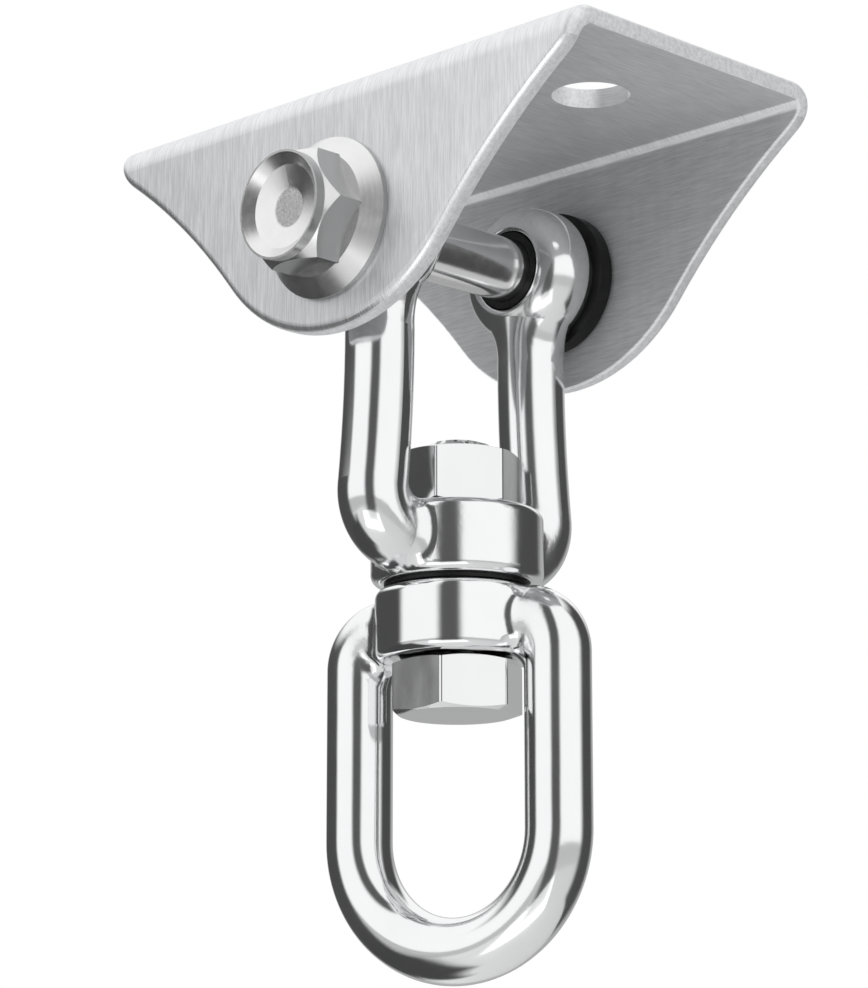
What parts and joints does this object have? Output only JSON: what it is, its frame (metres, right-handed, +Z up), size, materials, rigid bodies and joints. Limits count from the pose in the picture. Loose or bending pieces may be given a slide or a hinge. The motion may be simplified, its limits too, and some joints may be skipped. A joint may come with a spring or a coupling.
{
  "type": "swivelling ceiling hook",
  "caption": "Folded steel ceiling bracket with a jaw that swings on a cross bolt and an oblong ring that swivels below it, for hanging a hammock or swing.",
  "frame": {"origin": "middle of the bracket's top face, halfway between the screw holes", "axes": "+X along the bracket, +Y along the pivot bolt from its head to its nut, +Z up towards the ceiling"},
  "size_m": [0.0998, 0.0806, 0.136],
  "materials": {
    "brushed_sheet": "brushed along the wings and the web",
    "satin_bolt": "satin turned steel",
    "polished_casting": "mirror polished stainless steel",
    "black_plastic": "satin moulded nylon"
  },
  "bodies": {
    "mounting": {"bracket": "brushed_sheet", "pivot_bolt": "satin_bolt", "pivot_nut": "satin_bolt", "nut_insert": "black_plastic"},
    "swinging_jaw": {"jaw": "polished_casting", "bush_near": "black_plastic", "bush_far": "black_plastic", "swivel_nut": "polished_casting", "swivel_bolt": "polished_casting", "thrust_washer": "black_plastic"},
    "turning_ring": {"ring": "polished_casting"}
  },
  "joints": [
    {"name": "swing", "type": "hinge", "parent": "mounting", "child": "swinging_jaw", "pos_m": [0, 0, -0.0225], "axis": [0, 1, 0], "range_deg": [-90, 90]},
    {"name": "swivel", "type": "hinge", "parent": "swinging_jaw", "child": "turning_ring", "pos_m": [0, 0, -0.08135], "axis": [0, 0, 1], "continuous": true}
  ]
}
